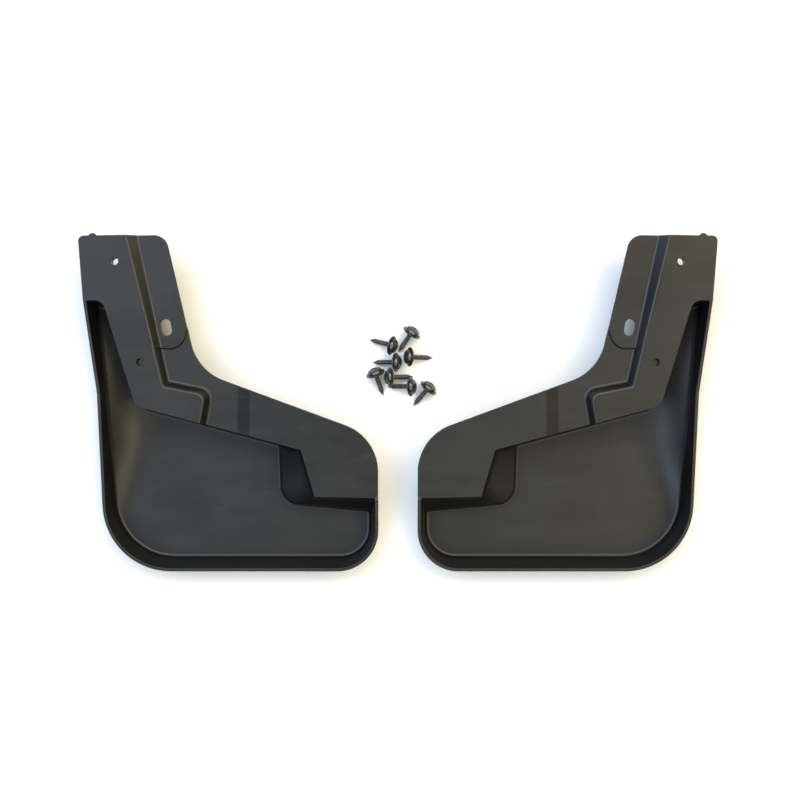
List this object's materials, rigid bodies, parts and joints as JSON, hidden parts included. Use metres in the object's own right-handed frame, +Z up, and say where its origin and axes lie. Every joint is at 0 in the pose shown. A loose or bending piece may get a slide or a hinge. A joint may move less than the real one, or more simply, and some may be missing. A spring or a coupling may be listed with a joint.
{
  "type": "mud flap",
  "caption": "Handed pair of moulded plastic mud flaps for a car, hollow side up, with eight black self-tapping screws and their captive washers.",
  "frame": {"origin": "centre of the kit's bounding box, on the surface that the flaps lie on", "axes": "+X towards the right flap, +Y towards the flaps' screw pads, +Z up out of the dishes"},
  "size_m": [0.5222, 0.2788, 0.045],
  "materials": {
    "flap_plastic": "satin moulded polypropylene",
    "screw_steel": "black phosphate and oil",
    "washer_steel": "black phosphate and oil"
  },
  "bodies": {
    "left_flap": {"left_flap": "flap_plastic"},
    "right_flap": {"right_flap": "flap_plastic"},
    "screw_1": {"screw_1": "screw_steel"},
    "washer_1": {"washer_1": "washer_steel"},
    "screw_2": {"screw_2": "screw_steel"},
    "washer_2": {"washer_2": "washer_steel"},
    "screw_3": {"screw_3": "screw_steel"},
    "washer_3": {"washer_3": "washer_steel"},
    "screw_4": {"screw_4": "screw_steel"},
    "washer_4": {"washer_4": "washer_steel"},
    "screw_5": {"screw_5": "screw_steel"},
    "washer_5": {"washer_5": "washer_steel"},
    "screw_6": {"screw_6": "screw_steel"},
    "washer_6": {"washer_6": "washer_steel"},
    "screw_7": {"screw_7": "screw_steel"},
    "washer_7": {"washer_7": "washer_steel"},
    "screw_8": {"screw_8": "screw_steel"},
    "washer_8": {"washer_8": "washer_steel"}
  },
  "joints": [
    {"name": "right_flap_lift", "type": "slide", "parent": "left_flap", "child": "right_flap", "axis": [0, 0, 1], "range_m": [0, 0.08]},
    {"name": "screw_1_pick", "type": "slide", "parent": "left_flap", "child": "screw_1", "axis": [0, 0, 1], "range_m": [0, 0.05]},
    {"name": "washer_1_spin", "type": "hinge", "parent": "screw_1", "child": "washer_1", "pos_m": [0.01206, 0.0604, 0.00821], "axis": [0.5348, 0.7637, 0.3616], "continuous": true},
    {"name": "screw_2_pick", "type": "slide", "parent": "left_flap", "child": "screw_2", "axis": [0, 0, 1], "range_m": [0, 0.05]},
    {"name": "washer_2_spin", "type": "hinge", "parent": "screw_2", "child": "washer_2", "pos_m": [-0.00453, 0.04872, 0.00821], "axis": [0.8984, -0.2492, 0.3616], "continuous": true},
    {"name": "screw_3_pick", "type": "slide", "parent": "left_flap", "child": "screw_3", "axis": [0, 0, 1], "range_m": [0, 0.05]},
    {"name": "washer_3_spin", "type": "hinge", "parent": "screw_3", "child": "washer_3", "pos_m": [0.0091, 0.03937, 0.00821], "axis": [-0.932, 0.026, 0.3616], "continuous": true},
    {"name": "screw_4_pick", "type": "slide", "parent": "left_flap", "child": "screw_4", "axis": [0, 0, 1], "range_m": [0, 0.05]},
    {"name": "washer_4_spin", "type": "hinge", "parent": "screw_4", "child": "washer_4", "pos_m": [-0.00099, 0.03472, 0.00821], "axis": [0.9323, -0.0081, 0.3616], "continuous": true},
    {"name": "screw_5_pick", "type": "slide", "parent": "left_flap", "child": "screw_5", "axis": [0, 0, 1], "range_m": [0, 0.05]},
    {"name": "washer_5_spin", "type": "hinge", "parent": "screw_5", "child": "washer_5", "pos_m": [-0.01925, 0.02603, 0.00821], "axis": [-0.3112, 0.8788, 0.3616], "continuous": true},
    {"name": "screw_6_pick", "type": "slide", "parent": "left_flap", "child": "screw_6", "axis": [-0.359, -0.5331, 0.7661], "range_m": [0, 0.05]},
    {"name": "washer_6_spin", "type": "hinge", "parent": "screw_6", "child": "washer_6", "pos_m": [-0.0075, 0.02219, 0.00821], "axis": [-0.9319, -0.0277, 0.3616], "continuous": true},
    {"name": "screw_7_pick", "type": "slide", "parent": "left_flap", "child": "screw_7", "axis": [0.25, -0.433, 0.866], "range_m": [0, 0.05]},
    {"name": "washer_7_spin", "type": "hinge", "parent": "screw_7", "child": "washer_7", "pos_m": [0.01151, 0.0143, 0.00821], "axis": [0.9323, 0, 0.3616], "continuous": true},
    {"name": "screw_8_pick", "type": "slide", "parent": "left_flap", "child": "screw_8", "axis": [0, 0, 1], "range_m": [0, 0.05]},
    {"name": "washer_8_spin", "type": "hinge", "parent": "screw_8", "child": "washer_8", "pos_m": [0.02618, 0.01361, 0.00821], "axis": [0.5993, 0.7142, 0.3616], "continuous": true}
  ]
}
